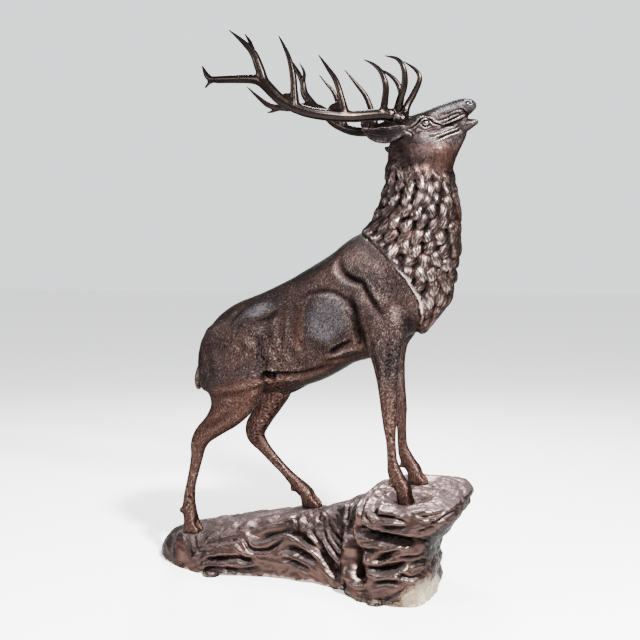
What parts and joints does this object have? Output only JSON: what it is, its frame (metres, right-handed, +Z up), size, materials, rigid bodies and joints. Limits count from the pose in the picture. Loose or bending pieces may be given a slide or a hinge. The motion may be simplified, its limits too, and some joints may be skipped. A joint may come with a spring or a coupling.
{
  "type": "stag sculpture",
  "caption": "Life-size cast bronze stag with full antlers and maned neck, standing with raised head on a cast rock ledge.",
  "frame": {"origin": "on the ground, in the flat underside of the rock, about the middle of the rock's length", "axes": "+X the way the stag faces, +Y its left side, +Z up"},
  "size_m": [1.6708, 0.7527, 2.5997],
  "materials": {
    "stag_bronze": "dark brown patina over cast bronze, waxed, reddish where worn",
    "rock_bronze": "dark brown patina over cast bronze, waxed, pale and dusty at one foot"
  },
  "bodies": {
    "root": {"stag": "stag_bronze", "rock_base": "rock_bronze"}
  },
  "joints": []
}
